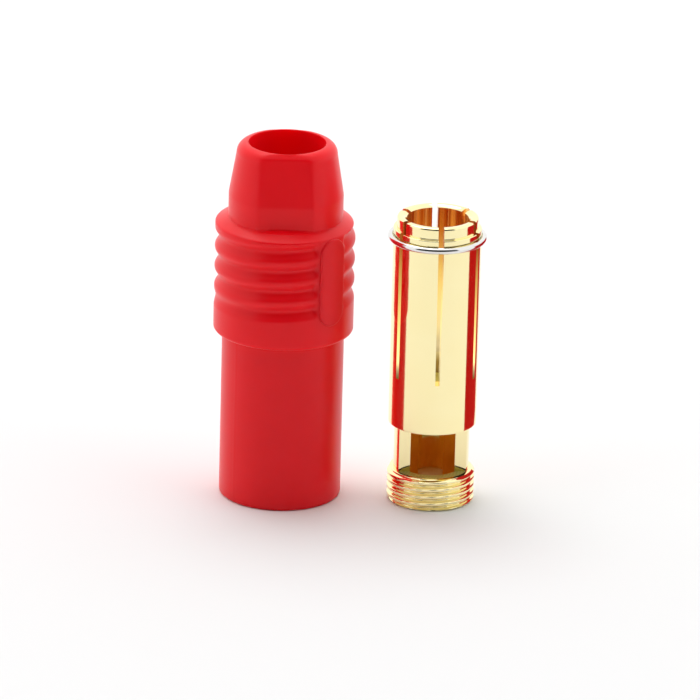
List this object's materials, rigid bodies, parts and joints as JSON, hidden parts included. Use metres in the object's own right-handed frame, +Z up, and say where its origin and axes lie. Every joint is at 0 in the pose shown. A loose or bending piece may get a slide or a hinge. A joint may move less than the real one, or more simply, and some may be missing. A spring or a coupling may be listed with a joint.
{
  "type": "high-current bullet connector socket half",
  "caption": "High-current bullet connector socket half, shown apart: ribbed plastic housing with a cable mouth, and a slotted gold-plated contact with a solder cup.",
  "frame": {"origin": "centre of the housing's mating end face, in the plane that both pieces stand on", "axes": "+Z up the housing's axis towards its cable mouth, +X towards the contact that stands beside it, -Y towards the solder window"},
  "size_m": [0.031, 0.016, 0.0424],
  "materials": {
    "red_plastic": "semi-gloss moulded, with a faint parting line",
    "gold_plating": "polished gold plating over turned brass",
    "spring_steel": "bright drawn wire"
  },
  "bodies": {
    "root": {"housing": "red_plastic", "socket_contact": "gold_plating", "snap_ring": "spring_steel"}
  },
  "joints": []
}
